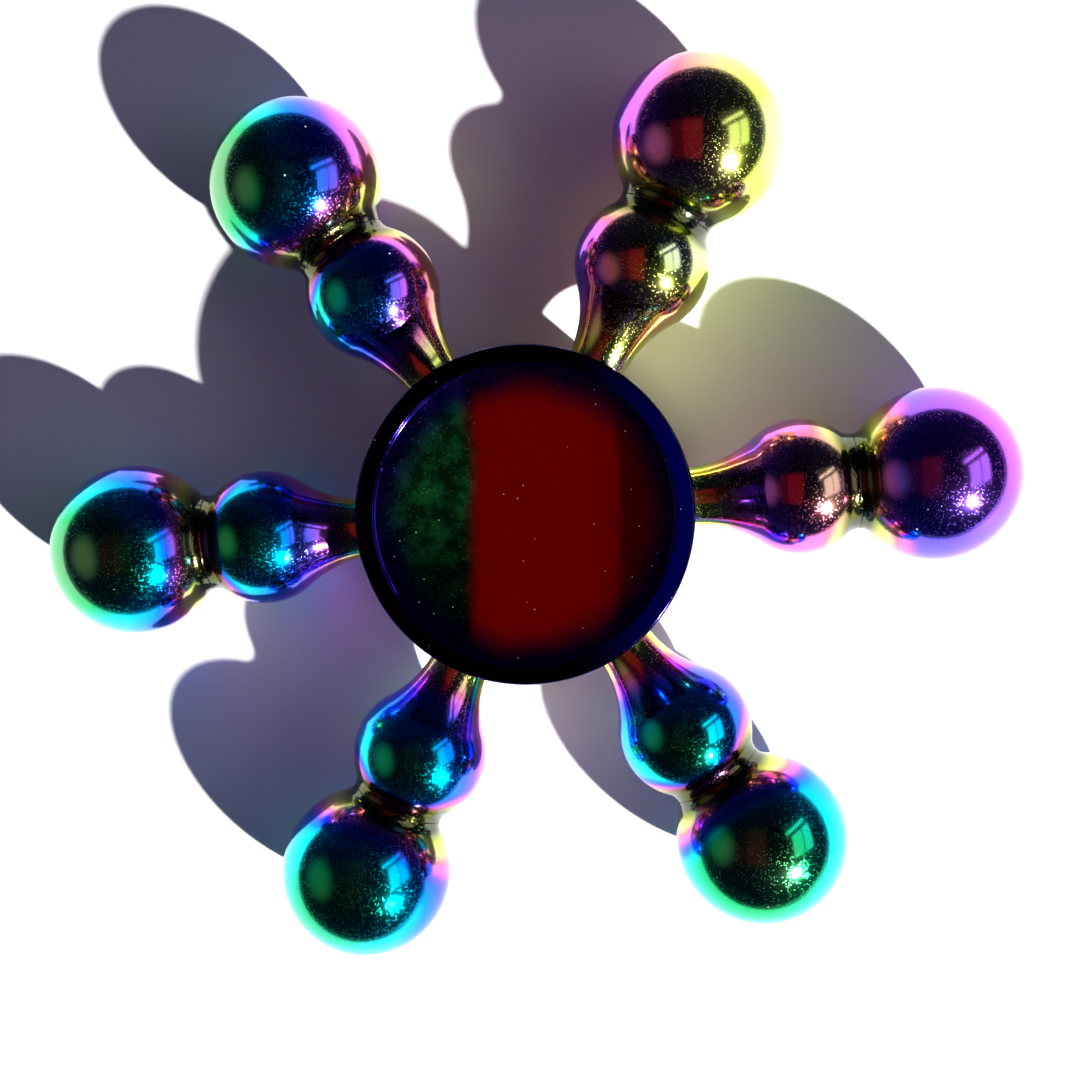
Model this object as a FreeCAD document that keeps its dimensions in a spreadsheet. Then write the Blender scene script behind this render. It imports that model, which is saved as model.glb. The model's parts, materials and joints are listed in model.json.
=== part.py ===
import FreeCAD, Part
import math
import os
import Sketcher

# Six-arm fidget spinner: a ball bearing in a hub ring, two dished finger caps clamped on the
# bearing's inner race, and six turned arms, each a neck and a bead with a larger ball screwed on.
# Millimetres, +Z up. The origin is the bearing's centre, on the spin axis. Arm 1 points along +X.

ARMS = 6
RACE_BALLS = 7

DRIVING_DIMENSIONS = {
    # arms and ball ends
    "overall_dia": 80.0,           # over two opposite ball ends
    "end_ball_dia": 14.0,
    "bead_dia": 11.0,
    "bead_reach": 22.1,            # spin axis to bead centre
    "neck_dia": 4.8,
    "flare_radius": 9.0,           # concave sweep from the neck into the bead
    "waist_dia": 7.8,              # smallest diameter between bead and ball
    "seam_chamfer": 0.12,          # both sides of the joint in the waist
    "arm_stud_dia": 3.0,           # M3, at both ends of an arm
    "outer_stud_length": 4.0,
    "stud_chamfer": 0.25,
    "drill_margin": 0.5,           # tapped holes are this much deeper than their studs
    "drill_point": 0.5,            # depth of the cone at a tapped hole's end
    # hub ring
    "ring_dia": 26.6,
    "ring_height": 8.0,
    "ring_chamfer": 0.4,
    "bore_chamfer": 0.3,
    "lip_dia": 20.8,               # shoulder under the bearing
    "seat_depth": 0.3,             # flat spot face for each neck
    "seat_dia": 5.2,
    "cutter_overrun": 1.0,         # the spot facing tool starts this far outside the seat
    "stud_gap": 0.15,              # inner stud end to the bearing
    # finger caps
    "hub_height": 14.8,            # over both caps
    "cap_dia": 26.6,
    "cap_gap": 0.3,                # running gap between a cap and the ring
    "cap_round": 0.3,
    "dish_dia": 23.6,
    "dish_radius": 40.0,
    "dish_chamfer": 0.12,
    "boss_dia": 11.4,              # spacer boss that bears on the inner race
    "stub_play": 0.01,
    "stub_gap": 0.1,               # between the two stubs
    "cap_stud_dia": 4.0,           # M4, joins the caps through the bearing
    "cap_stud_reach": 4.0,         # how far it enters the lower cap
    # 608 ball bearing
    "bearing_bore": 8.0,
    "bearing_dia": 22.0,
    "bearing_width": 7.0,
    "race_chamfer": 0.3,
    "pitch_dia": 15.0,
    "race_ball_dia": 3.969,
    "race_play": 0.02,
    "inner_land_dia": 12.1,
    "outer_land_dia": 17.9,
    "shield_dia": 19.4,
    "shield_bore": 12.6,
    "shield_thickness": 0.3,
    "shield_inset": 0.3,           # shield's outer face below the bearing's face
    # ribbon cage
    "cage_dia": 16.7,
    "cage_bore": 13.3,
    "cage_sheet": 0.4,
    "cage_play": 0.1,
    "rivet_dia": 0.7,
    "rivet_head_dia": 1.2,
    "rivet_head_height": 0.25,
}

doc = FreeCAD.newDocument("fidget_spinner")
sheet = doc.addObject("Spreadsheet::Sheet", "dims")
for row, (alias, size) in enumerate(DRIVING_DIMENSIONS.items(), start=1):
    sheet.set(f"A{row}", alias)
    sheet.set(f"B{row}", str(size))
    sheet.setAlias(f"B{row}", alias)
doc.recompute()


# ---------------------------------------------------------------- lengths worked out in expressions
def half(alias):
    """Expression for half of a diameter, width or height of the sheet."""
    return f"(dims.{alias} / 2)"


def to_waist(ball_dia):
    """Expression for the distance from a ball's centre to where the waist meets it."""
    return f"sqrt({half(ball_dia)} ^ 2 - {half('waist_dia')} ^ 2)"


def hollow(ball_dia, run):
    """The waist's hollow beside a ball, as expressions: its radius, and where it meets the ball.

    The hollow is centred over the seam, run away from the ball's centre, and just touches the
    waist's smallest diameter. It leaves the ball at (along, up), along from the ball's centre.
    """
    ball, waist = half(ball_dia), half("waist_dia")
    radius = f"(({run} ^ 2 - {ball} ^ 2 + {waist} ^ 2) / (2 * ({ball} - {waist})))"
    share = f"({ball} / ({ball} + {radius}))"
    return radius, f"{run} * {share}", f"({waist} + {radius}) * {share}"


def beside_seam(radius):
    """Expression for the hollow's height where the seam's chamfer starts."""
    return f"{half('waist_dia')} + {radius} - sqrt({radius} ^ 2 - dims.seam_chamfer ^ 2)"


def level(side, height):
    """Expression for a height above the mid plane if side is 1, or below it if side is -1."""
    return f"{side} * ({height})"


END_BALL_REACH = f"({half('overall_dia')} - {half('end_ball_dia')})"
BEAD_END = f"(dims.bead_reach + {to_waist('bead_dia')})"
BALL_START = f"({END_BALL_REACH} - {to_waist('end_ball_dia')})"
SEAM = f"(({BEAD_END} + {BALL_START}) / 2)"
NECK_SEAT = f"({half('ring_dia')} - dims.seat_depth)"
FLARE_RUN = (f"sqrt(({half('bead_dia')} - {half('neck_dia')})"
             f" * ({half('bead_dia')} + {half('neck_dia')} + 2 * dims.flare_radius))")
FLARE_SHARE = f"({half('bead_dia')} / ({half('bead_dia')} + dims.flare_radius))"
RUNNING_BALL = f"({half('race_ball_dia')} + dims.race_play)"
CAP_UNDERSIDE = f"({half('ring_height')} + dims.cap_gap)"


# ---------------------------------------------------------------- sketch and feature helpers
def arc_between(start, end, radius, side):
    """The shorter arc from start to end. side is 1 with its centre on the left, -1 on the right."""
    middle = (start + end) * 0.5
    chord = end - start
    to_left = FreeCAD.Vector(-chord.y, chord.x, 0).normalize()
    rise = (radius ** 2 - (chord.Length / 2) ** 2) ** 0.5
    centre = middle + to_left * (side * rise)
    crown = centre - to_left * (side * radius)
    return Part.Arc(start, crown, end)


def draw_outline(sketch, corners):
    """Close an outline through corners, and bind every corner to the sheet.

    A corner is (across, up) in expressions. (across, up, radius, side) starts an arc there.
    """
    spots = [FreeCAD.Vector(float(sketch.evalExpression(corner[0])),
                            float(sketch.evalExpression(corner[1])), 0) for corner in corners]
    ends = []
    for number, corner in enumerate(corners):
        start = spots[number]
        end = spots[(number + 1) % len(spots)]
        if len(corner) == 2:
            sketch.addGeometry(Part.LineSegment(start, end), False)
            ends.append((1, 2))
            continue
        radius, side = corner[2:]
        arc = arc_between(start, end, float(sketch.evalExpression(radius)), side)
        sketch.addGeometry(arc, False)
        ends.append((1, 2) if side > 0 else (2, 1))
    for number, corner in enumerate(corners):
        following = (number + 1) % len(corners)
        sketch.addConstraint(Sketcher.Constraint(
            "Coincident", number, ends[number][1], following, ends[following][0]))
        first = ends[number][0]
        bind_coordinate(sketch, "DistanceX", number, first, corner[0], -2)
        bind_coordinate(sketch, "DistanceY", number, first, corner[1], -1)
        if len(corner) == 4:
            size = float(sketch.evalExpression(corner[2]))
            index = sketch.addConstraint(Sketcher.Constraint("Radius", number, size))
            sketch.setExpression(f"Constraints[{index}]", corner[2])


def bind_coordinate(sketch, kind, number, point, expression, axis):
    """Put one coordinate of a point on the sketch's axis, or at a distance that the sheet gives."""
    if expression == "0":
        sketch.addConstraint(Sketcher.Constraint("PointOnObject", number, point, axis))
        return
    size = float(sketch.evalExpression(expression))
    index = sketch.addConstraint(Sketcher.Constraint(kind, -1, 1, number, point, size))
    sketch.setExpression(f"Constraints[{index}]", expression)


def new_body(label):
    body = doc.addObject("PartDesign::Body", label)
    body.Label = label
    return body


def new_sketch(body, name, plane, offset="0"):
    """A sketch on one of the body's own origin planes, moved along the plane's normal by offset."""
    sketch = body.newObject("Sketcher::SketchObject", f"{body.Label}_{name}")
    support = [item for item in body.Origin.OriginFeatures if item.Role == plane][0]
    sketch.AttachmentSupport = (support, [""])
    sketch.MapMode = "FlatFace"
    if offset != "0":
        sketch.setExpression("AttachmentOffset.Base.z", offset)
    doc.recompute()
    return sketch


def turn(label, plane, axis, corners):
    """A turned piece: an outline revolved about the sketch's H_Axis or V_Axis."""
    body = new_body(label)
    sketch = new_sketch(body, "outline", plane)
    draw_outline(sketch, corners)
    doc.recompute()
    revolution = body.newObject("PartDesign::Revolution", f"{label}_turned")
    revolution.Profile = sketch
    revolution.ReferenceAxis = (sketch, [axis])
    revolution.Angle = 360.0
    doc.recompute()
    return body


def turn_upright(label, corners):
    """A piece turned about the spin axis. Corners are (radius, height)."""
    return turn(label, "XZ_Plane", "V_Axis", corners)


def bore_sideways(body, name, radius, offset, depth):
    """A round pocket that runs outwards along +X, from offset, through depth."""
    sketch = new_sketch(body, f"{name}_circle", "YZ_Plane", offset)
    circle = sketch.addGeometry(Part.Circle(FreeCAD.Vector(0, 0, 0), FreeCAD.Vector(0, 0, 1),
                                            float(sketch.evalExpression(radius))), False)
    sketch.addConstraint(Sketcher.Constraint("Coincident", circle, 3, -1, 1))
    size = float(sketch.evalExpression(radius))
    index = sketch.addConstraint(Sketcher.Constraint("Radius", circle, size))
    sketch.setExpression(f"Constraints[{index}]", radius)
    pocket = body.newObject("PartDesign::Pocket", f"{body.Label}_{name}")
    pocket.Profile = sketch
    pocket.Reversed = True
    pocket.setExpression("Length", depth)
    doc.recompute()
    return pocket


def repeat_round(body, features, count):
    """Repeat features evenly about the spin axis."""
    pattern = body.newObject("PartDesign::PolarPattern", f"{body.Label}_pattern")
    pattern.Originals = features
    z_axis = [item for item in body.Origin.OriginFeatures if item.Role == "Z_Axis"][0]
    pattern.Axis = (z_axis, [""])
    pattern.Angle = 360.0
    pattern.Occurrences = count
    body.Tip = pattern
    doc.recompute()


def turned_to(body, number, count):
    """Move piece number (from 1) of count to its place around the spin axis."""
    angle = 360.0 * (number - 1) / count
    body.Placement = FreeCAD.Placement(FreeCAD.Vector(0, 0, 0), FreeCAD.Rotation(angle, 0, 0))
    return body


# ---------------------------------------------------------------- hub ring
def hub_ring():
    """Ring that holds the bearing. Six tapped side holes, each with a flat seat, take the arms."""
    top = half("ring_height")
    outside = half("ring_dia")
    bore = half("bearing_dia")
    shoulder = f"-{half('bearing_width')}"
    body = turn_upright("hub_ring", [
        (half("lip_dia"), f"-{top}"),
        (f"{outside} - dims.ring_chamfer", f"-{top}"),
        (outside, f"-{top} + dims.ring_chamfer"),
        (outside, f"{top} - dims.ring_chamfer"),
        (f"{outside} - dims.ring_chamfer", top),
        (f"{bore} + dims.bore_chamfer", top),
        (bore, f"{top} - dims.bore_chamfer"),
        (bore, shoulder),
        (half("lip_dia"), shoulder),
    ])
    solid_volume = body.Shape.Volume
    hole = bore_sideways(body, "stud_hole", half("arm_stud_dia"), "0", outside)
    seat = bore_sideways(body, "neck_seat", half("seat_dia"), NECK_SEAT,
                         "dims.seat_depth + dims.cutter_overrun")
    repeat_round(body, [hole, seat], ARMS)
    wall = (sheet.ring_dia - sheet.bearing_dia) / 2 - sheet.seat_depth
    drilled_volume = ARMS * math.pi * (sheet.arm_stud_dia / 2) ** 2 * wall
    if solid_volume - body.Shape.Volume < drilled_volume:
        raise RuntimeError("the hub ring's side holes aren't cut")
    return body


# ---------------------------------------------------------------- arms and their ball ends
def arm(number):
    """Inner stud, neck, flare, bead, half waist and outer stud, turned from one bar along +X."""
    neck = half("neck_dia")
    waist = half("waist_dia")
    stud = half("arm_stud_dia")
    inner_end = f"({half('bearing_dia')} + dims.stud_gap)"
    outer_end = f"({SEAM} + dims.outer_stud_length)"
    flare_height = f"({neck} + dims.flare_radius) * {FLARE_SHARE}"
    radius, along, up = hollow("bead_dia", f"({SEAM} - dims.bead_reach)")
    body = turn(f"arm_{number}", "XY_Plane", "H_Axis", [
        (inner_end, "0"),
        (inner_end, f"{stud} - dims.stud_chamfer"),
        (f"{inner_end} + dims.stud_chamfer", stud),
        (NECK_SEAT, stud),
        (NECK_SEAT, neck),
        (f"dims.bead_reach - {FLARE_RUN}", neck, "dims.flare_radius", 1),
        (f"dims.bead_reach - {FLARE_RUN} * {FLARE_SHARE}", flare_height, half("bead_dia"), -1),
        (f"dims.bead_reach + {along}", up, radius, 1),
        (f"{SEAM} - dims.seam_chamfer", beside_seam(radius)),
        (SEAM, f"{waist} - dims.seam_chamfer"),
        (SEAM, stud),
        (f"{outer_end} - dims.stud_chamfer", stud),
        (outer_end, f"{stud} - dims.stud_chamfer"),
        (outer_end, "0"),
    ])
    return turned_to(body, number, ARMS)


def end_ball(number):
    """Ball with its half of the waist and a blind tapped hole for the arm's outer stud."""
    waist = half("waist_dia")
    radius, along, up = hollow("end_ball_dia", f"({END_BALL_REACH} - {SEAM})")
    stud = half("arm_stud_dia")
    hole_end = f"({SEAM} + dims.outer_stud_length + dims.drill_margin)"
    body = turn(f"end_ball_{number}", "XY_Plane", "H_Axis", [
        (SEAM, stud),
        (SEAM, f"{waist} - dims.seam_chamfer"),
        (f"{SEAM} + dims.seam_chamfer", beside_seam(radius), radius, 1),
        (f"{END_BALL_REACH} - {along}", up, half("end_ball_dia"), -1),
        (half("overall_dia"), "0"),
        (f"{hole_end} + dims.drill_point", "0"),
        (hole_end, stud),
    ])
    return turned_to(body, number, ARMS)


# ---------------------------------------------------------------- finger caps
def cap_outside(side):
    """Corners of a cap from its stub, round the rim and over the dish to the spin axis.

    side is 1 for the upper cap and -1 for the lower one.
    """
    stub = f"{half('bearing_bore')} - dims.stub_play"
    boss = half("boss_dia")
    rim = half("cap_dia")
    dish = half("dish_dia")
    race_face = level(side, half("bearing_width"))
    underside = level(side, CAP_UNDERSIDE)
    top = level(side, half("hub_height"))
    dish_edge = f"{half('hub_height')} - dims.dish_chamfer"
    dish_floor = f"{dish_edge} - dims.dish_radius + sqrt(dims.dish_radius ^ 2 - {dish} ^ 2)"
    return [
        (stub, level(side, half("stub_gap"))),
        (stub, race_face),
        (boss, race_face),
        (boss, underside),
        (f"{rim} - dims.cap_round", underside, "dims.cap_round", side),
        (rim, level(side, f"{CAP_UNDERSIDE} + dims.cap_round")),
        (rim, level(side, f"{half('hub_height')} - dims.cap_round"), "dims.cap_round", side),
        (f"{rim} - dims.cap_round", top),
        (f"{dish} + dims.dish_chamfer", top),
        (dish, level(side, dish_edge), "dims.dish_radius", -side),
        ("0", level(side, dish_floor)),
    ]


def top_cap():
    """Dished cap with a stub in the bearing's bore and an M4 stud for the lower cap."""
    stud = half("cap_stud_dia")
    stud_end = "-dims.cap_stud_reach"
    return turn_upright("top_cap", cap_outside(1) + [
        ("0", stud_end),
        (f"{stud} - dims.stud_chamfer", stud_end),
        (stud, f"{stud_end} + dims.stud_chamfer"),
        (stud, half("stub_gap")),
    ])


def bottom_cap():
    """The same cap turned over, with a blind tapped hole in place of the stud."""
    hole = half("cap_stud_dia")
    hole_end = "(-dims.cap_stud_reach - dims.drill_margin)"
    return turn_upright("bottom_cap", cap_outside(-1) + [
        ("0", f"{hole_end} - dims.drill_point"),
        (hole, hole_end),
        (hole, level(-1, half("stub_gap"))),
    ])


# ---------------------------------------------------------------- ball bearing
def groove_half_width(land):
    """Half the width of the ball groove where it opens at a land's diameter."""
    return f"sqrt({RUNNING_BALL} ^ 2 - ({half(land)} - {half('pitch_dia')}) ^ 2)"


def bearing_outer_race():
    outside = half("bearing_dia")
    face = half("bearing_width")
    land = half("outer_land_dia")
    recess = half("shield_dia")
    ledge = f"({face} - dims.shield_inset - dims.shield_thickness)"
    groove = groove_half_width("outer_land_dia")
    return turn_upright("bearing_outer_race", [
        (f"{outside} - dims.race_chamfer", f"-{face}"),
        (outside, f"-{face} + dims.race_chamfer"),
        (outside, f"{face} - dims.race_chamfer"),
        (f"{outside} - dims.race_chamfer", face),
        (recess, face),
        (recess, ledge),
        (land, ledge),
        (land, groove, RUNNING_BALL, -1),
        (land, f"-{groove}"),
        (land, f"-{ledge}"),
        (recess, f"-{ledge}"),
        (recess, f"-{face}"),
    ])


def bearing_inner_race():
    bore = half("bearing_bore")
    face = half("bearing_width")
    land = half("inner_land_dia")
    groove = groove_half_width("inner_land_dia")
    return turn_upright("bearing_inner_race", [
        (f"{bore} + dims.race_chamfer", f"-{face}"),
        (land, f"-{face}"),
        (land, f"-{groove}", RUNNING_BALL, -1),
        (land, groove),
        (land, face),
        (f"{bore} + dims.race_chamfer", face),
        (bore, f"{face} - dims.race_chamfer"),
        (bore, f"-{face} + dims.race_chamfer"),
    ])


def bearing_shield(label, side):
    """Pressed steel shield, fixed in the outer race and clear of the inner race."""
    outer_face = level(side, f"{half('bearing_width')} - dims.shield_inset")
    inner_face = level(side, f"{half('bearing_width')} - dims.shield_inset - dims.shield_thickness")
    return turn_upright(label, [
        (half("shield_bore"), inner_face),
        (half("shield_dia"), inner_face),
        (half("shield_dia"), outer_face),
        (half("shield_bore"), outer_face),
    ])


def on_pitch_circle(piece, step):
    """Bind a primitive's place to the pitch circle, step ball spacings round from +X."""
    angle = f"{360.0 * step / RACE_BALLS} deg"
    piece.setExpression("Placement.Base.x", f"{half('pitch_dia')} * cos({angle})")
    piece.setExpression("Placement.Base.y", f"{half('pitch_dia')} * sin({angle})")
    return piece


def sphere_at_ball(label, radius, number):
    ball = doc.addObject("Part::Sphere", label)
    ball.Label = label
    ball.setExpression("Radius", radius)
    return on_pitch_circle(ball, number - 1)


def cylinder(label, radius, height):
    rod = doc.addObject("Part::Cylinder", label)
    rod.setExpression("Radius", radius)
    rod.setExpression("Height", height)
    return rod


def combine(kind, label, pieces):
    """A Part::MultiFuse, Part::MultiCommon, Part::Cut or Part::Compound with a label of its own."""
    result = doc.addObject(kind, label)
    result.Label = label
    if kind == "Part::Cut":
        result.Base, result.Tool = pieces
    elif kind == "Part::Compound":
        result.Links = pieces
    else:
        result.Shapes = pieces
    return result


def annulus(label, height):
    """Flat ring of the cage's two diameters, standing on the mid plane."""
    outer = cylinder(f"{label}_outer", half("cage_dia"), height)
    inner = cylinder(f"{label}_inner", half("cage_bore"), height)
    return combine("Part::Cut", label, [outer, inner])


def cage_half(label):
    """Pressed ribbon: a flat band between the balls, domed over each ball, with rivet holes."""
    pocket = f"({half('race_ball_dia')} + dims.cage_play)"
    dome = f"({pocket} + dims.cage_sheet)"
    numbers = range(1, RACE_BALLS + 1)
    band = annulus(f"{label}_band", "dims.cage_sheet")
    domes = [sphere_at_ball(f"{label}_dome_{number}", dome, number) for number in numbers]
    ribbon = combine("Part::MultiFuse", f"{label}_ribbon", [band] + domes)
    envelope = annulus(f"{label}_envelope", dome)
    upper = combine("Part::MultiCommon", f"{label}_upper", [envelope, ribbon])
    cuts = [sphere_at_ball(f"{label}_pocket_{number}", pocket, number) for number in numbers]
    for number in numbers:
        hole = cylinder(f"{label}_rivet_hole_{number}", half("rivet_dia"), "dims.cage_sheet")
        cuts.append(on_pitch_circle(hole, number - 0.5))
    openings = combine("Part::MultiFuse", f"{label}_openings", cuts)
    return combine("Part::Cut", label, [upper, openings])


def cage_bottom(label):
    """The same ribbon turned over about the X axis."""
    ribbon = cage_half(label)
    ribbon.Placement = FreeCAD.Placement(FreeCAD.Vector(0, 0, 0), FreeCAD.Rotation(0, 0, 180))
    return ribbon


def cage_rivets(label):
    """One rivet between each two balls: a shank and a flat head at both ends."""
    rivets = []
    for number in range(1, RACE_BALLS + 1):
        shank = cylinder(f"{label}_shank_{number}", half("rivet_dia"), "2 * dims.cage_sheet")
        shank.setExpression("Placement.Base.z", "-dims.cage_sheet")
        heads = []
        for end, foot in (("top", "dims.cage_sheet"),
                          ("bottom", "-dims.cage_sheet - dims.rivet_head_height")):
            head = cylinder(f"{label}_{end}_head_{number}", half("rivet_head_dia"),
                            "dims.rivet_head_height")
            head.setExpression("Placement.Base.z", foot)
            heads.append(on_pitch_circle(head, number - 0.5))
        on_pitch_circle(shank, number - 0.5)
        rivets.append(combine("Part::MultiFuse", f"{label}_{number}", [shank] + heads))
    return combine("Part::Compound", label, rivets)


# ---------------------------------------------------------------- assembly and export
def all_subparts():
    subparts = [hub_ring(), top_cap(), bottom_cap(), bearing_outer_race(), bearing_inner_race()]
    subparts += [arm(number) for number in range(1, ARMS + 1)]
    subparts += [end_ball(number) for number in range(1, ARMS + 1)]
    subparts += [sphere_at_ball(f"bearing_ball_{number}", half("race_ball_dia"), number)
                 for number in range(1, RACE_BALLS + 1)]
    subparts += [bearing_shield("bearing_shield_top", 1), bearing_shield("bearing_shield_bottom", -1)]
    subparts += [cage_half("bearing_cage_top"), cage_bottom("bearing_cage_bottom")]
    subparts.append(cage_rivets("bearing_cage_rivets"))
    return subparts


def check(subparts):
    """Stop if any object of the document failed, or a sub-part has no sound shape."""
    for item in doc.Objects:
        if "Invalid" in item.State or "Error" in item.State:
            raise RuntimeError(f"{item.Label} failed: {item.State}")
    for piece in subparts:
        if piece.Shape.isNull() or not piece.Shape.isValid():
            raise RuntimeError(f"{piece.Label} has no valid shape")


pieces = all_subparts()
doc.recompute()
check(pieces)
os.makedirs("parts", exist_ok=True)
for piece in pieces:
    piece.Shape.exportStep(f"parts/{piece.Label}.step")
    print(f"{piece.Label}: {len(piece.Shape.Solids)} solid(s), {piece.Shape.Volume:.1f} mm3")
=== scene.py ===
import json
import math

import bmesh
import bpy
from mathutils import Matrix, Vector


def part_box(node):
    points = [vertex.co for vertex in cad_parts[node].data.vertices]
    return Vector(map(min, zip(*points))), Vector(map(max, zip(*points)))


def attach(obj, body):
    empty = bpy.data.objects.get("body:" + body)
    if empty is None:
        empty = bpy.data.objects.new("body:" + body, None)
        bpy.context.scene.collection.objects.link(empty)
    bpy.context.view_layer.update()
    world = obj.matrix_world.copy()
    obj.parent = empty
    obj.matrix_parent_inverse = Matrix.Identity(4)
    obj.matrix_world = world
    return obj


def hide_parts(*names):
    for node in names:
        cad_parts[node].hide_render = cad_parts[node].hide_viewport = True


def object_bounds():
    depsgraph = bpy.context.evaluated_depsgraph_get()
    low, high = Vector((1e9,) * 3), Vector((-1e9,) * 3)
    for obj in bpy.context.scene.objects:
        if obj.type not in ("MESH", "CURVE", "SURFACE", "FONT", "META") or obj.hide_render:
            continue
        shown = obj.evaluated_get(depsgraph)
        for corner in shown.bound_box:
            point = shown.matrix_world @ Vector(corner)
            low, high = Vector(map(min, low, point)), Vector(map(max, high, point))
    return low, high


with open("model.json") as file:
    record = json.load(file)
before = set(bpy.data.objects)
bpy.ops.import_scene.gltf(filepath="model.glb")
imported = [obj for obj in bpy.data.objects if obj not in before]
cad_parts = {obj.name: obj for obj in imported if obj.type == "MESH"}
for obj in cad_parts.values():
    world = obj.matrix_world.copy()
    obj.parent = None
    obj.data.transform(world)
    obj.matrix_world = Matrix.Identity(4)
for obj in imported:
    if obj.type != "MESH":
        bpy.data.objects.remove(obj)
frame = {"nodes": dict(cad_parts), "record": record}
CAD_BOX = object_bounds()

# Rainbow-plated six-arm fidget spinner. Everything is in metres, in the CAD frame: +Z is the spin
# axis, arm 1 points along +X. Polished pieces are turned again here, from the same sizes, with
# rounded edges and enough faces for mirror reflections. The hub ring and the bearing keep their
# CAD meshes.

MM = 0.001
ARMS = 6

# ---------------------------------------------------------------- sizes, from the frame
ARM_LOW, ARM_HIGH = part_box("arm_1")
BALL_LOW, BALL_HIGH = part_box("end_ball_1")
CAP_LOW, CAP_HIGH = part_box("top_cap")
RING_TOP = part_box("hub_ring")[1].z

WIDTH = CAD_BOX[1].x - CAD_BOX[0].x
FLOOR_Z = CAD_BOX[0].z
STUD_START = ARM_LOW.x
STUD_END = ARM_HIGH.x
BEAD_R = ARM_HIGH.z
SEAM = BALL_LOW.x
TIP = BALL_HIGH.x
BALL_R = BALL_HIGH.z
BALL_CENTRE = TIP - BALL_R
RIM_R = CAP_HIGH.x
CAP_TOP = CAP_HIGH.z

# sizes that the boxes don't show, the same as in the CAD model unless a note says otherwise
BEAD_CENTRE = 22.1 * MM
NECK_SEAT = 13.0 * MM
NECK_R = 2.4 * MM
WAIST_R = 3.9 * MM
ARM_STUD_R = 1.5 * MM
STUD_EDGE = 0.25 * MM
FLARE_R = 9.0 * MM
SEAM_ROUND = 0.07 * MM   # in place of a chamfer of 0.12 mm
DRILL_MARGIN = 0.5 * MM
DRILL_POINT = 0.5 * MM
BALL_HOLE_END = STUD_END + DRILL_MARGIN
DISH_R = 11.8 * MM
DISH_CURVE = 40.0 * MM
CAP_ROUND = 0.3 * MM
DISH_ROUND = 0.12 * MM   # in place of a chamfer of the same size
CAP_GAP = 0.3 * MM
BOSS_R = 5.7 * MM
STUB_R = 3.99 * MM
RACE_FACE = 3.5 * MM
STUB_END = 0.05 * MM
CAP_STUD_R = 2.0 * MM
CAP_HOLE_END = CAP_LOW.z - DRILL_MARGIN
SUPPORT = 0.03 * MM      # extra rings beside an edge, so that shading doesn't run over it

# faces round each piece, and steps along an outline's arcs
ARM_SEGMENTS = 96
BALL_SEGMENTS = 112
CAP_SEGMENTS = 192
FLARE_STEPS = 30
BEAD_STEPS = 48
BALL_STEPS = 80
HOLLOW_STEPS = 16
SEAM_STEPS = 5
RIM_STEPS = 10
LIP_STEPS = 6
DISH_STEPS = 60

# the finish: its colours drift across the whole spinner, by place turned by this about +Z
DRIFT_TURN = math.radians(5.4)
DRIFT_SPAN = 30.0 * MM


# ---------------------------------------------------------------- turned meshes
def arc(centre_along, centre_radius, radius, start, end, steps):
    """Points (along, radius) on an arc. Angles in degrees, from the along axis."""
    points = []
    for step in range(steps + 1):
        angle = math.radians(start + (end - start) * step / steps)
        points.append((centre_along + radius * math.cos(angle),
                       centre_radius + radius * math.sin(angle)))
    return points


def with_support(corners):
    """The outline, with an extra point just inside both ends of each long straight run."""
    points = []
    for here, there in zip(corners, corners[1:] + corners[:1]):
        points.append(here)
        run = Vector(there) - Vector(here)
        if run.length > 8 * SUPPORT and not (here[1] == 0 and there[1] == 0):
            step = run.normalized() * SUPPORT
            points.append(tuple(Vector(here) + step))
            points.append(tuple(Vector(there) - step))
    return points


def turned(name, outline, axis, segments):
    """Object made by turning (along, radius) points about +X or +Z, from the axis to the axis."""
    mesh = bpy.data.meshes.new(name)
    build = bmesh.new()
    rings = []
    for along, radius in outline:
        ring = []
        count = 1 if radius < 1e-9 else segments
        for number in range(count):
            angle = 2 * math.pi * number / segments
            across, up = radius * math.cos(angle), radius * math.sin(angle)
            spot = (along, across, up) if axis == "X" else (across, up, along)
            ring.append(build.verts.new(spot))
        rings.append(ring)
    for first, second in zip(rings, rings[1:]):
        for number in range(segments):
            following = (number + 1) % segments
            if len(first) == 1 and len(second) == 1:
                break
            if len(first) == 1:
                build.faces.new((first[0], second[number], second[following]))
            elif len(second) == 1:
                build.faces.new((first[following], first[number], second[0]))
            else:
                build.faces.new((first[number], second[number],
                                 second[following], first[following]))
    bmesh.ops.recalc_face_normals(build, faces=build.faces[:])
    for face in build.faces:
        face.smooth = True
    build.to_mesh(mesh)
    build.free()
    piece = bpy.data.objects.new(name, mesh)
    bpy.context.scene.collection.objects.link(piece)
    return piece


def spin_mesh(piece, angle):
    """Turns the mesh itself about +Z, and leaves the object's own place alone."""
    piece.data.transform(Matrix.Rotation(angle, 4, "Z"))


def hollow_beside(ball_r, run):
    """The waist's hollow between a ball and the seam, run away from the ball's centre.

    Gives the hollow's radius and the angle, in degrees at the ball's centre, where it meets the ball.
    """
    radius = (run ** 2 - ball_r ** 2 + WAIST_R ** 2) / (2 * (ball_r - WAIST_R))
    return radius, math.degrees(math.atan2(WAIST_R + radius, run))


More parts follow.
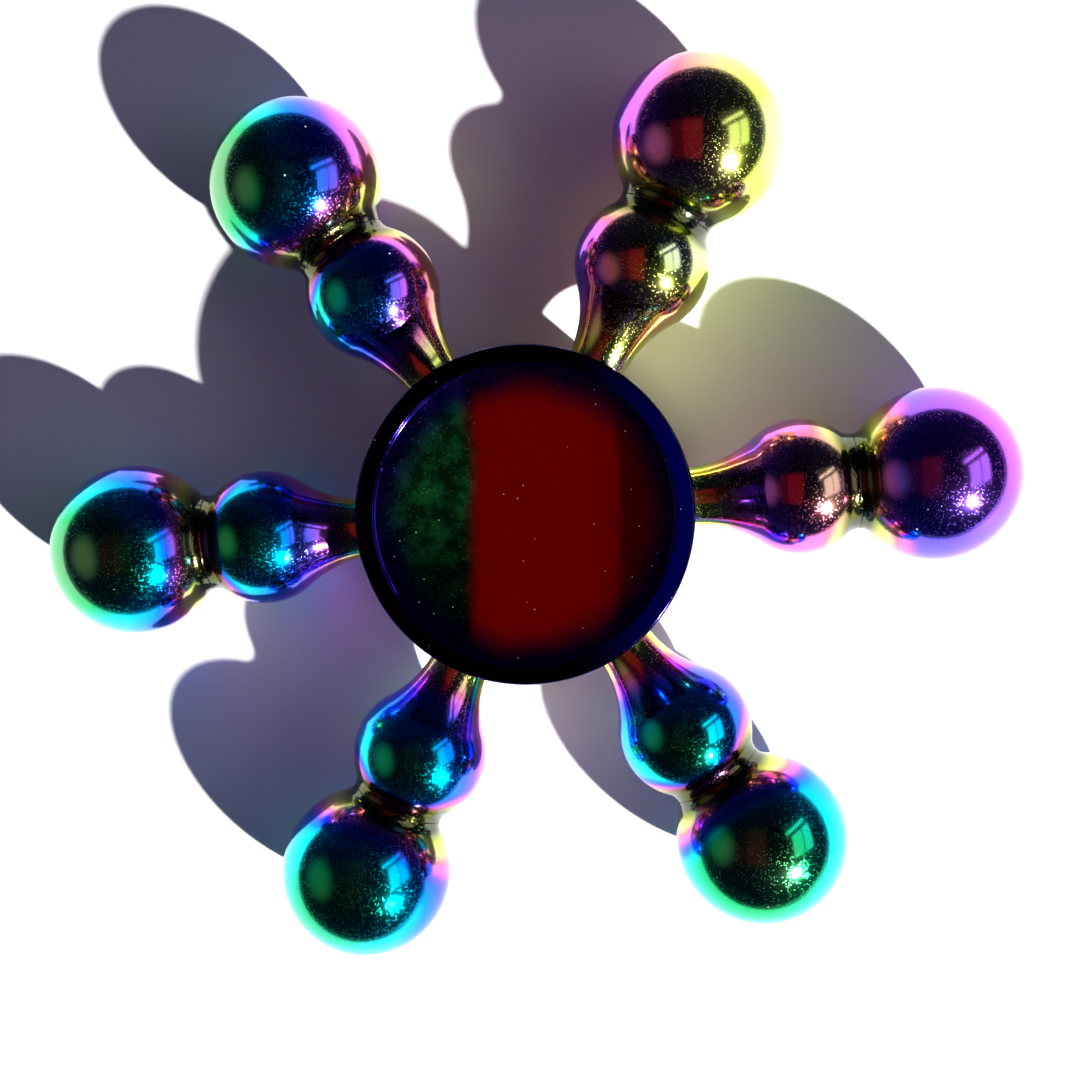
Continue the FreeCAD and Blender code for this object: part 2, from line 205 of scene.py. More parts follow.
# ---------------------------------------------------------------- the turned pieces' outlines
def arm_outline():
    """Inner stud, neck, flare, bead, half of the waist up to the seam, outer stud."""
    flare_run = math.sqrt((BEAD_R + FLARE_R) ** 2 - (NECK_R + FLARE_R) ** 2)
    flare_angle = math.degrees(math.atan2(NECK_R + FLARE_R, flare_run))
    hollow_r, waist_angle = hollow_beside(BEAD_R, SEAM - BEAD_CENTRE)
    start = [(STUD_START, 0.0), (STUD_START, ARM_STUD_R - STUD_EDGE),
             (STUD_START + STUD_EDGE, ARM_STUD_R), (NECK_SEAT, ARM_STUD_R),
             (NECK_SEAT, NECK_R)]
    body = arc(BEAD_CENTRE - flare_run, NECK_R + FLARE_R, FLARE_R, -90, -flare_angle,
               FLARE_STEPS)
    body += arc(BEAD_CENTRE, 0.0, BEAD_R, 180 - flare_angle, waist_angle, BEAD_STEPS)[1:]
    before_seam = math.degrees(math.asin(SEAM_ROUND / hollow_r))
    body += arc(SEAM, WAIST_R + hollow_r, hollow_r, 180 + waist_angle, 270 - before_seam,
                HOLLOW_STEPS)[1:]
    seam = arc(SEAM - SEAM_ROUND, WAIST_R - SEAM_ROUND, SEAM_ROUND, 90, 0, SEAM_STEPS)[1:]
    end = [(SEAM, ARM_STUD_R), (STUD_END - STUD_EDGE, ARM_STUD_R),
           (STUD_END, ARM_STUD_R - STUD_EDGE), (STUD_END, 0.0)]
    return with_support(start)[:-2] + body + seam + end


def end_ball_outline():
    """Tapped hole, seam, half of the waist and ball."""
    hollow_r, waist_angle = hollow_beside(BALL_R, BALL_CENTRE - SEAM)
    hole = [(BALL_HOLE_END + DRILL_POINT, 0.0), (BALL_HOLE_END, ARM_STUD_R), (SEAM, ARM_STUD_R)]
    seam = arc(SEAM + SEAM_ROUND, WAIST_R - SEAM_ROUND, SEAM_ROUND, 180, 90, SEAM_STEPS)[:-1]
    after_seam = math.degrees(math.asin(SEAM_ROUND / hollow_r))
    ball = arc(SEAM, WAIST_R + hollow_r, hollow_r, 270 + after_seam, 360 - waist_angle,
               HOLLOW_STEPS)
    ball += arc(BALL_CENTRE, 0.0, BALL_R, 180 - waist_angle, 0, BALL_STEPS)[1:]
    ball[-1] = (TIP, 0.0)
    return hole + seam + ball


def cap_outline():
    """Upper side of a cap, from the stub's end round the rim to the middle of the dish."""
    underside = RING_TOP + CAP_GAP
    dish_edge = CAP_TOP - DISH_ROUND
    dish_half = math.degrees(math.asin(DISH_R / DISH_CURVE))
    dish_centre = dish_edge + DISH_CURVE * math.cos(math.radians(dish_half))
    hub = with_support([(STUB_END, STUB_R), (RACE_FACE, STUB_R), (RACE_FACE, BOSS_R),
                        (underside, BOSS_R), (underside, RIM_R - CAP_ROUND)])[:-2]
    rim = arc(underside + CAP_ROUND, RIM_R - CAP_ROUND, CAP_ROUND, 180, 90, RIM_STEPS)
    rim += arc(CAP_TOP - CAP_ROUND, RIM_R - CAP_ROUND, CAP_ROUND, 90, 0, RIM_STEPS)
    lip = arc(CAP_TOP - DISH_ROUND, DISH_R + DISH_ROUND, DISH_ROUND, 0, -90, LIP_STEPS)
    flat = with_support([rim[-1], lip[0]])[1:3]
    dish = arc(dish_centre, 0.0, DISH_CURVE, 180 - dish_half, 180, DISH_STEPS)
    dish[-1] = (dish[-1][0], 0.0)
    return hub + rim + flat + lip[:-1] + dish


def top_cap_outline():
    stud = [(CAP_LOW.z, 0.0), (CAP_LOW.z, CAP_STUD_R - STUD_EDGE),
            (CAP_LOW.z + STUD_EDGE, CAP_STUD_R), (STUB_END, CAP_STUD_R)]
    return stud + cap_outline()


def bottom_cap_outline():
    """The upper cap's outline turned over, with a tapped hole instead of the stud."""
    hole = [(CAP_HOLE_END - DRILL_POINT, 0.0), (CAP_HOLE_END, CAP_STUD_R), (-STUB_END, CAP_STUD_R)]
    return hole + [(-along, radius) for along, radius in cap_outline()]


# ---------------------------------------------------------------- node helpers
def linear(red, green, blue):
    """Scene-linear colour of display values from 0 to 255."""
    def channel(value):
        value /= 255
        return value / 12.92 if value <= 0.04045 else ((value + 0.055) / 1.055) ** 2.4
    return (channel(red), channel(green), channel(blue), 1.0)


class Graph:
    """A material's or world's nodes. A value given to a socket is a number, a tuple or a socket."""

    def __init__(self, tree):
        self.tree = tree
        tree.nodes.clear()

    def add(self, kind, inputs=None, **settings):
        node = self.tree.nodes.new(kind)
        for name, value in settings.items():
            setattr(node, name, value)
        for name, value in (inputs or {}).items():
            self.feed(node.inputs[name], value)
        return node

    def feed(self, socket, value):
        if isinstance(value, bpy.types.NodeSocket):
            self.tree.links.new(value, socket)
        else:
            socket.default_value = value

    def math(self, operation, first, second=0.0):
        node = self.add("ShaderNodeMath", {0: first, 1: second}, operation=operation)
        return node.outputs[0]

    def total(self, *values):
        result = values[0]
        for value in values[1:]:
            result = self.math("ADD", result, value)
        return result

    def times(self, *values):
        result = values[0]
        for value in values[1:]:
            result = self.math("MULTIPLY", result, value)
        return result

    def hypotenuse(self, first, second):
        """Length of the hypotenuse over two sides."""
        return self.math("SQRT", self.total(self.times(first, first), self.times(second, second)))

    def polynomial(self, x, y, terms):
        """Sum of size * x^a * y^b over terms of {(a, b): size}."""
        parts = []
        for (power_x, power_y), size in terms.items():
            parts.append(self.times(size, *[x] * power_x, *[y] * power_y))
        return self.total(*parts)

    def smooth(self, value, low, high, start=0.0, end=1.0):
        """start below low, end above high, and a smooth step between them."""
        node = self.add("ShaderNodeMapRange", interpolation_type="SMOOTHSTEP")
        for number, setting in enumerate((value, low, high, start, end)):
            self.feed(node.inputs[number], setting)
        return node.outputs[0]

    def noise(self, where, scale, detail=2.0, roughness=0.5):
        node = self.add("ShaderNodeTexNoise", {"Vector": where, "Scale": scale, "Detail": detail,
                                               "Roughness": roughness})
        return node.outputs["Fac"]

    def ramp(self, value, stops):
        node = self.add("ShaderNodeValToRGB", {"Fac": value})
        elements = node.color_ramp.elements
        while len(elements) > 1:
            elements.remove(elements[-1])
        elements[0].position = stops[0][0]
        elements[0].color = stops[0][1]
        for position, colour in stops[1:]:
            elements.new(position).color = colour
        return node.outputs["Color"]

    def mix(self, share, first, second):
        node = self.add("ShaderNodeMix", data_type="RGBA")
        self.feed(node.inputs["Factor"], share)
        self.feed(node.inputs[6], first)
        self.feed(node.inputs[7], second)
        return node.outputs[2]


def new_material(name):
    material = bpy.data.materials.new(name)
    material.use_nodes = True
    return material, Graph(material.node_tree)


def finish_metal(graph, colour, roughness, normal, metallic=1.0):
    shader = graph.add("ShaderNodeBsdfPrincipled", {
        "Base Color": colour, "Roughness": roughness, "Metallic": metallic, "Normal": normal})
    output = graph.add("ShaderNodeOutputMaterial")
    graph.tree.links.new(shader.outputs[0], output.inputs["Surface"])


# ---------------------------------------------------------------- surface marks
SCRATCH_TURNS = (20.0, 75.0, 140.0)     # degrees
SCRATCH_AXIS = (0.2, 0.3, 1.0)          # tilted, so that no scratch follows a piece's outline
SCRATCH_SIZE = 0.035                    # half the width, as a share of the spacing


def specks(graph, where, scale, size, share):
    """Scattered round specks, from 0 to 1. share is the part of the cells that has one."""
    cells = graph.add("ShaderNodeTexVoronoi", {"Vector": where, "Scale": scale})
    dot = graph.smooth(cells.outputs["Distance"], size * 0.5, size, start=1.0, end=0.0)
    chance = graph.add("ShaderNodeSeparateColor", {"Color": cells.outputs["Color"]})
    chosen = graph.math("LESS_THAN", chance.outputs["Red"], share)
    return graph.times(dot, chosen)


def scratches(graph, where, scale, share, stretch=22.0):
    """Short straight hairlines in three directions, from 0 to 1: specks drawn out along a line."""
    lines = 0.0
    for turn in SCRATCH_TURNS:
        turned_place = graph.add("ShaderNodeVectorRotate", {
            "Vector": where, "Axis": SCRATCH_AXIS, "Angle": math.radians(turn)})
        drawn_out = graph.add("ShaderNodeMapping", {"Vector": turned_place.outputs[0],
                                                    "Scale": (1.0 / stretch, 1.0, 1.0)})
        line = specks(graph, drawn_out.outputs[0], scale, SCRATCH_SIZE, share)
        lines = graph.math("MAXIMUM", lines, line)
    return lines


# ---------------------------------------------------------------- materials
# colour of the coating against its thickness, from bare metal at 0 to the second order at 1
RAINBOW = [
    (0.00, linear(238, 244, 222)),
    (0.08, linear(224, 246, 100)),
    (0.17, linear(234, 226, 128)),
    (0.26, linear(232, 192, 150)),
    (0.34, linear(230, 128, 150)),
    (0.43, linear(232, 124, 222)),
    (0.50, linear(200, 102, 250)),
    (0.56, linear(124, 98, 255)),
    (0.63, linear(66, 104, 255)),
    (0.71, linear(0, 136, 255)),
    (0.78, linear(0, 198, 255)),
    (0.84, linear(0, 238, 244)),
    (0.88, linear(24, 214, 180)),
    (0.93, linear(30, 204, 120)),
    (1.00, linear(112, 186, 124)),
]

# the coating's thickness: {(power of x, power of y): size}, x and y in units of DRIFT_SPAN
THICKNESS = 0.49
BY_PLACE = {(1, 0): -0.14, (2, 0): 0.11, (3, 0): 0.08, (0, 1): -0.15, (0, 2): 0.06, (1, 1): -0.20}
FACING_X = {(0, 0): -0.17, (1, 0): 0.04}
FACING_ALONG_SPIN = 0.07
FACING_UP = {(0, 0): 0.15, (1, 0): -0.136, (0, 1): -0.09, (1, 1): -0.12}
BEAD_FACING_UP = {(1, 0): -0.13, (2, 0): -0.12, (0, 1): -0.15, (1, 1): -0.42}
BEAD_END = (24.0 * MM, 27.0 * MM)       # from the spin axis, where the beads' own term fades out
DRIFT_NOISE = 0.12
WAIST_SPAN = (0.5 * MM, 5.4 * MM)       # from a seam, where the coating grows to its full thickness
WAIST_THIN = 0.04
WAIST_CORE = 2.0 * MM                   # height above the arm's axis that still counts as the waist
BEAD_HURRY = 1.5                        # a distance on the bead's side counts this many times
SEAM_BLEND = 0.4 * MM
ROOT_SPAN = (12.8 * MM, 19.4 * MM)      # from the spin axis, where the coating grows along a neck
ROOT_THIN = 0.08
# Painted shade: near a seam the waist's colour is darkened towards near black, standing in for the
# shade in the hollow there.
WAIST_SHADE_SPAN = (0.8 * MM, 2.1 * MM)       # along the arm, from a seam
WAIST_SHADE_SHARE = 0.88
WAIST_SHADE = linear(36, 40, 32)
PALE_DUST = linear(196, 196, 200)

# the caps' finish, its colours partly a painted reflection
# Painted reflection, in part: the dish's red, green, wine and navy and the rim's near black and blue
# are laid out as the caps mirror their surroundings.
DISH_RED = linear(226, 18, 22)
DISH_GREEN = linear(52, 170, 86)
DISH_WINE = linear(110, 12, 34)
DISH_NAVY = linear(40, 26, 132)
RIM_EDGE = linear(30, 26, 78)
RIM_BLACK = linear(10, 9, 24)
RIM_BLUE = linear(6, 7, 250)
GREY_DUST = linear(128, 130, 138)
GREEN_SPAN = (-5.2 * MM, -3.4 * MM)     # across the dish, where green turns to red
WINE_SPAN = (4.6 * MM, 9.5 * MM)        # across the dish, where red turns to wine
NAVY_SPAN = (8.4 * MM, 11.4 * MM)       # from the spin axis, where the dish turns to navy
BLUE_SPAN = (4.0 * MM, 13.0 * MM)       # across the rim, where black turns to blue
WANDER = 2.4 * MM                       # how far the dish's borders wander
LEVEL_NORMAL = 0.98                     # a normal's Z from which a face counts as level
FILM_SPAN = (-6.5 * MM, 1.0 * MM)       # up the dish, where its film grows to its full strength
RIM_FILM = 0.025


def drifted(graph):
    """Place and normal on the object, in the finish's own directions."""
    coordinates = graph.add("ShaderNodeTexCoord")
    place = graph.add("ShaderNodeVectorRotate", {"Vector": coordinates.outputs["Object"],
                                                 "Angle": DRIFT_TURN}, rotation_type="Z_AXIS")
    facing = graph.add("ShaderNodeVectorRotate", {"Vector": coordinates.outputs["Normal"],
                                                  "Angle": DRIFT_TURN}, rotation_type="Z_AXIS")
    spot = graph.add("ShaderNodeSeparateXYZ", {0: place.outputs[0]})
    normal = graph.add("ShaderNodeSeparateXYZ", {0: facing.outputs[0]})
    return coordinates.outputs["Object"], spot.outputs, normal.outputs


def flat_radius(graph, spot):
    """Distance from the spin axis."""
    return graph.hypotenuse(spot[0], spot[1])


def coating_thickness(graph, where, spot, facing, radius):
    """Thickness by place and facing, before the waists and the hub thin it."""
    x = graph.math("DIVIDE", spot[0], DRIFT_SPAN)
    y = graph.math("DIVIDE", spot[1], DRIFT_SPAN)
    up = graph.times(facing[2], facing[2])
    on_bead = graph.times(up, graph.smooth(radius, *BEAD_END, start=1.0, end=0.0))
    along_spin = graph.math("SUBTRACT", graph.times(x, facing[1]), graph.times(y, facing[0]))
    noise = graph.math("SUBTRACT", graph.noise(where, scale=90.0), 0.5)
    return graph.total(THICKNESS, graph.polynomial(x, y, BY_PLACE),
                       graph.times(facing[0], graph.polynomial(x, y, FACING_X)),
                       graph.times(along_spin, FACING_ALONG_SPIN),
                       graph.times(up, graph.polynomial(x, y, FACING_UP)),
                       graph.times(on_bead, graph.polynomial(x, y, BEAD_FACING_UP)),
                       graph.times(noise, DRIFT_NOISE))


def thinned_at_waist(graph, spot, from_seam):
    """Share of the thickness that is left near a seam. The bead's side recovers sooner."""
    above = graph.math("SUBTRACT", graph.math("ABSOLUTE", spot[2]), WAIST_CORE)
    above = graph.math("MAXIMUM", above, 0.0)
    away = graph.hypotenuse(from_seam, above)
    hurry = graph.smooth(from_seam, -SEAM_BLEND, SEAM_BLEND, start=BEAD_HURRY, end=1.0)
    return graph.smooth(graph.times(away, hurry), *WAIST_SPAN, start=WAIST_THIN, end=1.0)


def rainbow_plating():
    """Interference colours by thickness, with dust, hairlines, sparkle, and painted shade darkening
    the waists.
    """
    material, graph = new_material("rainbow_plating")
    where, spot, facing = drifted(graph)
    radius = flat_radius(graph, spot)
    from_seam = graph.math("SUBTRACT", radius, SEAM)
    thickness = coating_thickness(graph, where, spot, facing, radius)
    waist = thinned_at_waist(graph, spot, from_seam)
    root = graph.smooth(radius, *ROOT_SPAN, start=ROOT_THIN, end=1.0)
    # painted shade in the waist hollows, strongest near the seam
    waist_shade = graph.smooth(graph.math("ABSOLUTE", from_seam), *WAIST_SHADE_SPAN,
                         start=WAIST_SHADE_SHARE, end=0.0)
    dust = specks(graph, where, scale=560.0, size=0.055, share=0.10)
    hair = scratches(graph, where, scale=900.0, share=0.05)
    glitter = specks(graph, where, scale=8000.0, size=0.46, share=0.30)
    colour = graph.ramp(graph.times(thickness, waist, root), RAINBOW)
    colour = graph.mix(waist_shade, colour, WAIST_SHADE)
    colour = graph.mix(dust, colour, PALE_DUST)
    haze = graph.smooth(graph.noise(where, scale=260.0, detail=4.0), 0.4, 0.7,
                        start=0.10, end=0.15)
    roughness = graph.total(haze, graph.times(hair, 0.15), graph.times(dust, 0.5),
                            graph.times(glitter, 0.16))
    sparkle = graph.add("ShaderNodeBump", {"Strength": 0.8, "Distance": 0.004 * MM,
                                           "Height": glitter})
    bump = graph.add("ShaderNodeBump", {
        "Strength": 0.14, "Distance": 0.01 * MM, "Normal": sparkle.outputs[0],
        "Height": graph.total(graph.times(hair, -1.0), dust)})
    finish_metal(graph, colour, roughness, bump.outputs[0], graph.math("SUBTRACT", 1.0, dust))
    return material


def cap_tint_and_reflection(graph, spot, wander, radius, green_side, on_rim, flat_rim):
    """Partly the cap's tint and partly a painted reflection: the dish is red, green on one side, wine
    on the other and navy at its edge.

    The rim is near black, a painted dark reflection, and turns blue on the wine side.
    """
    wine_side = graph.smooth(graph.total(spot[0], wander), *WINE_SPAN, end=0.5)
    edge = graph.smooth(graph.total(radius, wander), *NAVY_SPAN)
    colour = graph.mix(green_side, DISH_RED, DISH_GREEN)
    colour = graph.mix(wine_side, colour, DISH_WINE)
    colour = graph.mix(edge, colour, DISH_NAVY)
    colour = graph.mix(on_rim, colour, RIM_EDGE)
    rim = graph.mix(graph.smooth(spot[0], *BLUE_SPAN), RIM_BLACK, RIM_BLUE)
    return graph.mix(flat_rim, colour, rim)


def cap_plating():
    """Dark mirror finish whose colours are partly a painted reflection, with dust, fibres and
    scratches.

    A film that scatters light lies on the dish's green side and on the flat rim.
    """
    material, graph = new_material("cap_plating")
    where, spot, facing = drifted(graph)
    radius = flat_radius(graph, spot)
    noise = graph.math("SUBTRACT", graph.noise(where, scale=160.0, detail=3.0), 0.5)
    wander = graph.times(noise, WANDER)
    green_side = graph.smooth(graph.total(spot[0], wander), *GREEN_SPAN, start=1.0, end=0.0)
    on_rim = graph.math("GREATER_THAN", radius, DISH_R + DISH_ROUND)
    level = graph.math("GREATER_THAN", graph.math("ABSOLUTE", facing[2]), LEVEL_NORMAL)
    flat_rim = graph.times(on_rim, level)
    # the caps' colours, partly a painted reflection
    colour = cap_tint_and_reflection(graph, spot, wander, radius, green_side, on_rim, flat_rim)

    coarse_dust = specks(graph, where, scale=800.0, size=0.05, share=0.12)
    fine_dust = specks(graph, where, scale=1900.0, size=0.10, share=0.10)
    dust = graph.math("MAXIMUM", coarse_dust, fine_dust)
    fibre = scratches(graph, where, scale=420.0, share=0.022, stretch=16.0)
    hair = scratches(graph, where, scale=1300.0, share=0.16)
    glitter = specks(graph, where, scale=5200.0, size=0.45, share=0.16)
    marks = graph.math("MAXIMUM", dust, fibre)
    colour = graph.mix(marks, colour, GREY_DUST)
    haze = graph.smooth(graph.noise(where, scale=300.0, detail=5.0), 0.42, 0.75,
                        start=0.06, end=0.14)
    roughness = graph.total(haze, graph.times(hair, 0.2), graph.times(marks, 0.4),
                            graph.times(glitter, 0.16))
    bump = graph.add("ShaderNodeBump", {"Strength": 0.15, "Distance": 0.01 * MM,
                                        "Height": graph.total(graph.times(hair, -1.0), marks)})

    cloudy = graph.smooth(graph.noise(where, scale=620.0, detail=6.0, roughness=0.65),
                          0.40, 0.66, start=0.006, end=0.04)
    upper = graph.smooth(spot[1], *FILM_SPAN, start=0.1, end=1.0)
    in_dish = graph.math("SUBTRACT", 1.0, on_rim)
    film = graph.total(graph.times(green_side, in_dish, cloudy, upper),
                       graph.times(flat_rim, RIM_FILM))
    metallic = graph.math("SUBTRACT", 1.0, graph.total(graph.times(marks, 0.9), film))
    finish_metal(graph, colour, roughness, bump.outputs[0], metallic)
    return material


def bearing_steel():
    """Ground steel with fine mottled marks."""
    material, graph = new_material("bearing_steel")
    coordinates = graph.add("ShaderNodeTexCoord")
    where = coordinates.outputs["Object"]
    marks = graph.noise(where, scale=900.0, detail=4.0)
    colour = graph.ramp(marks, [(0.35, linear(176, 178, 182)), (0.7, linear(208, 209, 212))])
    roughness = graph.smooth(marks, 0.3, 0.7, start=0.14, end=0.24)
    bump = graph.add("ShaderNodeBump", {"Strength": 0.1, "Distance": 0.01 * MM, "Height": marks})
    finish_metal(graph, colour, roughness, bump.outputs[0])
    return material


def pressed_steel():
    """Duller sheet steel with a rolled grain."""
    material, graph = new_material("pressed_steel")
    coordinates = graph.add("ShaderNodeTexCoord")
    stretched = graph.add("ShaderNodeMapping", {"Vector": coordinates.outputs["Object"],
                                                "Scale": (1.0, 9.0, 1.0)})
    grain = graph.noise(stretched.outputs[0], scale=500.0, detail=5.0)
    colour = graph.ramp(grain, [(0.3, linear(142, 140, 134)), (0.7, linear(182, 180, 172))])
    roughness = graph.smooth(grain, 0.3, 0.7, start=0.3, end=0.45)
    bump = graph.add("ShaderNodeBump", {"Strength": 0.2, "Distance": 0.01 * MM, "Height": grain})
    finish_metal(graph, colour, roughness, bump.outputs[0])
    return material


# ---------------------------------------------------------------- pieces
def place(piece, node, body, slot, material):
    piece.data.materials.append(material)
    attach(piece, body)
    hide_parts(node)


def build_rotor(material):
    for number in range(1, ARMS + 1):
        angle = 2 * math.pi * (number - 1) / ARMS
        arm = turned(f"polished_arm_{number}", arm_outline(), "X", ARM_SEGMENTS)
        spin_mesh(arm, angle)
        place(arm, f"arm_{number}", "rotor", "rainbow_plating", material)
        ball = turned(f"polished_ball_{number}", end_ball_outline(), "X", BALL_SEGMENTS)
        spin_mesh(ball, angle)
        place(ball, f"end_ball_{number}", "rotor", "rainbow_plating", material)


def build_caps(material):
    top = turned("polished_top_cap", top_cap_outline(), "Z", CAP_SEGMENTS)
    place(top, "top_cap", "caps", "cap_plating", material)
    bottom = turned("polished_bottom_cap", bottom_cap_outline(), "Z", CAP_SEGMENTS)
    place(bottom, "bottom_cap", "caps", "cap_plating", material)


def paint_nodes(materials):
    """The CAD pieces that stay visible get their slot's material."""
    slots = {entry["node"]: entry["material_slot"] for entry in frame["record"]["subparts"]}
    for name, piece in frame["nodes"].items():
        piece.data.materials.clear()
        piece.data.materials.append(materials[slots[name]])


# ---------------------------------------------------------------- floor, light and camera
FLOOR_REACH = 40 * WIDTH                    # from the middle to each edge
TABLE_EDGE = (1.3 * WIDTH, 2.4 * WIDTH)     # where the mirrored floor starts and stops fading
LIT_FLOOR = (0.84, 0.83, 0.86, 1.0)
FADED_FLOOR = (0.06, 0.06, 0.08, 1.0)
SKY_LIGHT = (0.014, 0.022, 0.075, 1.0)      # what lights the shadows
SKY_MIRRORED = [                            # what the metal mirrors, from level to overhead
    (0.0, (0.020, 0.022, 0.060, 1.0)),
    (0.3, (0.004, 0.005, 0.026, 1.0)),
    (1.0, (0.001, 0.001, 0.010, 1.0)),
]
BACKDROP = (1.0, 1.0, 1.0, 1.0)


def seen_by_camera(graph):
    """1 for what the camera sees straight on, and 0 for what is mirrored or lit."""
    return graph.add("ShaderNodeLightPath").outputs["Is Camera Ray"]


def pale_floor():
    """A pale floor. What the metal mirrors of it fades out, as at a table's edge."""
    reach = FLOOR_REACH
    mesh = bpy.data.meshes.new("floor")
    corners = [(-reach, -reach, 0), (reach, -reach, 0), (reach, reach, 0), (-reach, reach, 0)]
    mesh.from_pydata(corners, [], [(0, 1, 2, 3)])
    floor = bpy.data.objects.new("floor", mesh)
    floor.location.z = FLOOR_Z
    bpy.context.scene.collection.objects.link(floor)
    material, graph = new_material("floor_paper")
    coordinates = graph.add("ShaderNodeTexCoord")
    where = graph.add("ShaderNodeSeparateXYZ", {0: coordinates.outputs["Object"]})
    radius = flat_radius(graph, where.outputs)
    far = graph.smooth(radius, *TABLE_EDGE)
    mirrored = graph.math("SUBTRACT", 1.0, seen_by_camera(graph))
    colour = graph.mix(graph.times(far, mirrored), LIT_FLOOR, FADED_FLOOR)
    shader = graph.add("ShaderNodeBsdfPrincipled", {"Base Color": colour, "Roughness": 0.7})
    shader.inputs["Specular IOR Level"].default_value = 0.2
    output = graph.add("ShaderNodeOutputMaterial")
    graph.tree.links.new(shader.outputs[0], output.inputs["Surface"])
    mesh.materials.append(material)


def towards(azimuth, elevation):
    """Unit vector towards a direction. Azimuth is anticlockwise from +X, both in degrees."""
    side = math.cos(math.radians(elevation))
    return Vector((side * math.cos(math.radians(azimuth)), side * math.sin(math.radians(azimuth)),
                   math.sin(math.radians(elevation))))


def lamp(name, kind, place, colour, strength):
    """A light at a place, facing the spinner."""
    data = bpy.data.lights.new(name, kind)
    data.color = colour
    data.energy = strength
    light = bpy.data.objects.new(name, data)
    light.location = place
    light.rotation_mode = "QUATERNION"
    light.rotation_quaternion = place.to_track_quat("Z", "Y")
    light.visible_camera = False
    bpy.context.scene.collection.objects.link(light)
    return light


def soft_panel(name, place, wide, high, colour, radiance, pattern):
    """A rectangular panel. pattern(graph, u, v) gives its brightness across and up, from 0 to 1."""
    light = lamp(name, "AREA", place, colour, radiance * math.pi * wide * high)
    light.data.shape = "RECTANGLE"
    light.data.size = wide
    light.data.size_y = high
    light.data.use_nodes = True
    graph = Graph(light.data.node_tree)
    geometry = graph.add("ShaderNodeNewGeometry")
    across = graph.add("ShaderNodeSeparateXYZ", {0: geometry.outputs["Parametric"]})
    emission = graph.add("ShaderNodeEmission", {
        "Strength": pattern(graph, across.outputs[0], across.outputs[1])})
    output = graph.add("ShaderNodeOutputLight")
    graph.tree.links.new(emission.outputs[0], output.inputs["Surface"])
    return light


def band(graph, value, low, high, soft):
    """1 between low and high, fading to 0 over soft at both ends."""
    rise = graph.smooth(value, low - soft / 2, low + soft / 2)
    fall = graph.smooth(value, high - soft / 2, high + soft / 2, start=1.0, end=0.0)
    return graph.times(rise, fall)


def window_pattern(graph, u, v):
    """Two panes beside each other, and a slim slanted light along one end of them."""
    panes = graph.total(band(graph, v, 0.05, 0.36, 0.04), band(graph, v, 0.40, 0.78, 0.04))
    slant = graph.total(graph.math("SUBTRACT", 1.0, u), graph.times(v, -0.26))
    panes = graph.times(panes, band(graph, slant, 0.20, 0.80, 0.04),
                        band(graph, u, 0.0, 0.95, 0.03))
    slim = graph.times(band(graph, v, 0.14, 0.95, 0.04), band(graph, slant, 0.01, 0.10, 0.04))
    around = 0.04
    return graph.total(panes, graph.times(slim, 1.2), around)


def overhead_pattern(graph, u, v):
    """Bright on one side and dim on the other, with soft edges."""
    bright = band(graph, u, 0.48, 0.96, 0.04)
    dim = graph.times(band(graph, u, 0.06, 0.48, 0.10), 0.35)
    across = graph.total(bright, dim)
    return graph.times(across, band(graph, v, 0.08, 0.92, 0.16))


def cloudy_pattern(graph, u, v):
    """A round glow with no edge."""
    radius = graph.hypotenuse(graph.math("SUBTRACT", u, 0.5), graph.math("SUBTRACT", v, 0.5))
    return graph.smooth(radius, 0.12, 0.5, start=1.0, end=0.0)


def studio_light():
    """A low hard key for the long shadows, and the room that the metal mirrors."""
    key = lamp("key", "SUN", place=towards(-46.0, 34.0), colour=(1.0, 0.98, 0.95), strength=10.0)
    key.data.angle = math.radians(1.5)
    soft_panel("side_window", place=towards(4.0, 41.0) * 0.80, wide=0.66, high=0.56,
               colour=(0.84, 0.88, 1.0), radiance=1.25, pattern=window_pattern)
    soft_panel("left_glow", place=towards(182.0, 30.0) * 0.60, wide=0.66, high=0.60,
               colour=(1.0, 0.80, 0.62), radiance=0.22, pattern=cloudy_pattern)
    overhead = soft_panel("overhead", place=Vector((-0.105, -0.010, 0.30)), wide=0.29, high=0.34,
                          colour=(1.0, 0.05, 0.04), radiance=0.13, pattern=overhead_pattern)
    overhead.rotation_quaternion = Matrix.Rotation(-DRIFT_TURN, 3, "Z").to_quaternion()


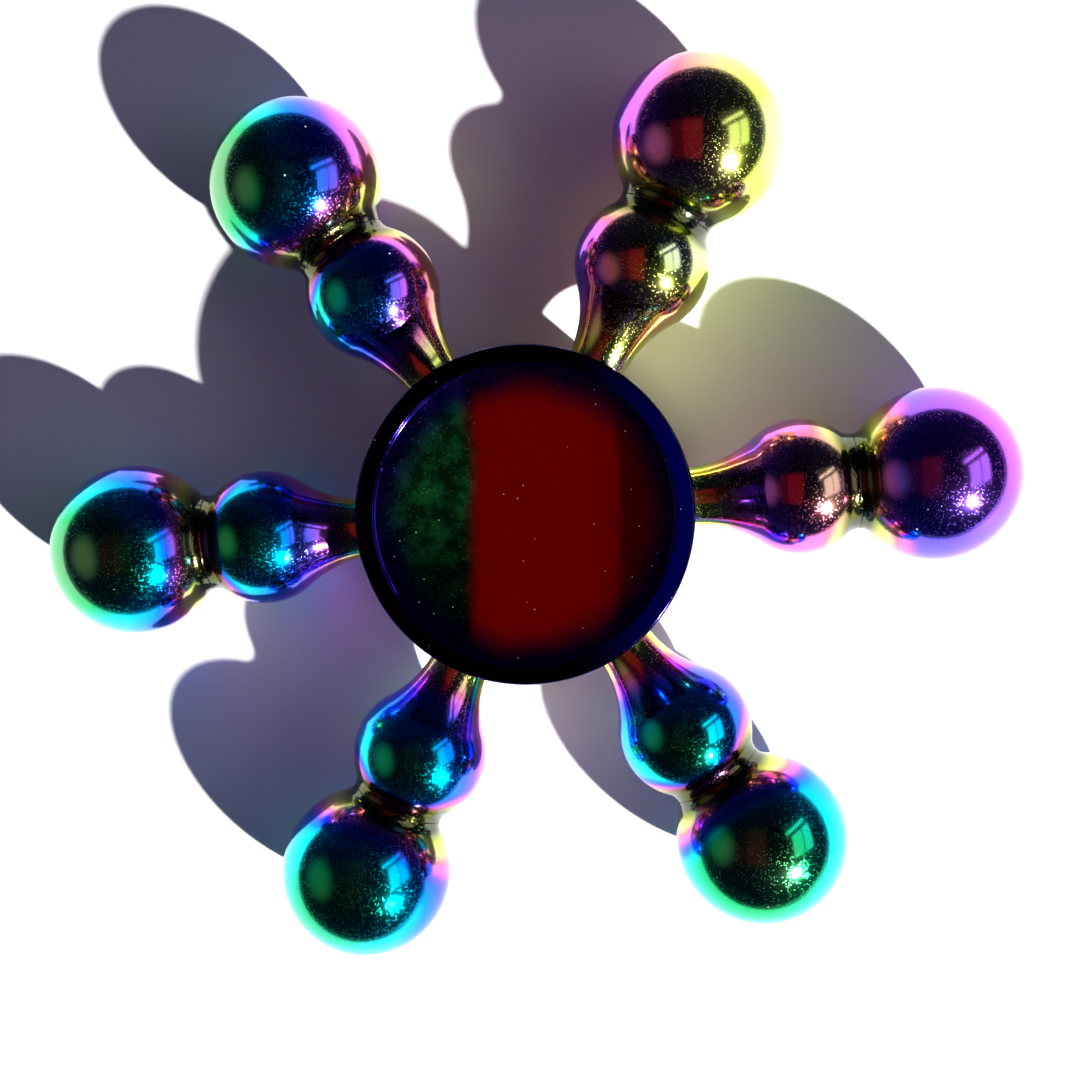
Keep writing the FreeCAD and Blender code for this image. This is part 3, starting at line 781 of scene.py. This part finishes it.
def surroundings():
    """Dim blue, darker where it is mirrored, and white where the camera looks past the floor."""
    world = bpy.data.worlds.new("studio")
    world.use_nodes = True
    bpy.context.scene.world = world
    graph = Graph(world.node_tree)
    coordinates = graph.add("ShaderNodeTexCoord")
    up = graph.add("ShaderNodeSeparateXYZ", {0: coordinates.outputs["Generated"]})
    mirrored = graph.ramp(up.outputs[2], SKY_MIRRORED)
    lighting = graph.add("ShaderNodeLightPath").outputs["Is Diffuse Ray"]
    colour = graph.mix(lighting, mirrored, SKY_LIGHT)
    colour = graph.mix(seen_by_camera(graph), colour, BACKDROP)
    background = graph.add("ShaderNodeBackground", {"Color": colour, "Strength": 1.0})
    output = graph.add("ShaderNodeOutputWorld")
    graph.tree.links.new(background.outputs[0], output.inputs["Surface"])


CAMERA_SENSOR = 36.0                        # mm
CAMERA_LENS = 53.0                          # mm
CAMERA_NEAR = 0.01                          # m
CAMERA_AIM = Vector((0.0078, -0.0298, 0.0)) * WIDTH
CAMERA_AWAY = 1.6375 * WIDTH
CAMERA_AZIMUTH = 40.6                       # the camera leans this way from overhead, in degrees
CAMERA_LEAN = 4.44                          # by this much, in degrees
CAMERA_LEVEL = -5.37                        # azimuth that is level in the picture, in degrees


def camera():
    """Nearly overhead, leaning towards +X and +Y, with arm 1 a little anticlockwise of level."""
    data = bpy.data.cameras.new("camera")
    data.sensor_width = CAMERA_SENSOR
    data.lens = CAMERA_LENS
    data.clip_start = CAMERA_NEAR
    eye = bpy.data.objects.new("camera", data)
    back = towards(CAMERA_AZIMUTH, 90 - CAMERA_LEAN)
    level = towards(CAMERA_LEVEL, 0)
    right = (level - back * level.dot(back)).normalized()
    turn = Matrix((right, back.cross(right), back)).transposed()
    eye.matrix_world = Matrix.Translation(CAMERA_AIM + back * CAMERA_AWAY) @ turn.to_4x4()
    bpy.context.scene.collection.objects.link(eye)
    bpy.context.scene.camera = eye


def main():
    materials = {"rainbow_plating": rainbow_plating(), "cap_plating": cap_plating(),
                 "bearing_steel": bearing_steel(), "pressed_steel": pressed_steel()}
    paint_nodes(materials)
    build_rotor(materials["rainbow_plating"])
    build_caps(materials["cap_plating"])
    pale_floor()
    studio_light()
    surroundings()
    camera()
    bpy.context.scene.view_settings.view_transform = "Standard"


main()
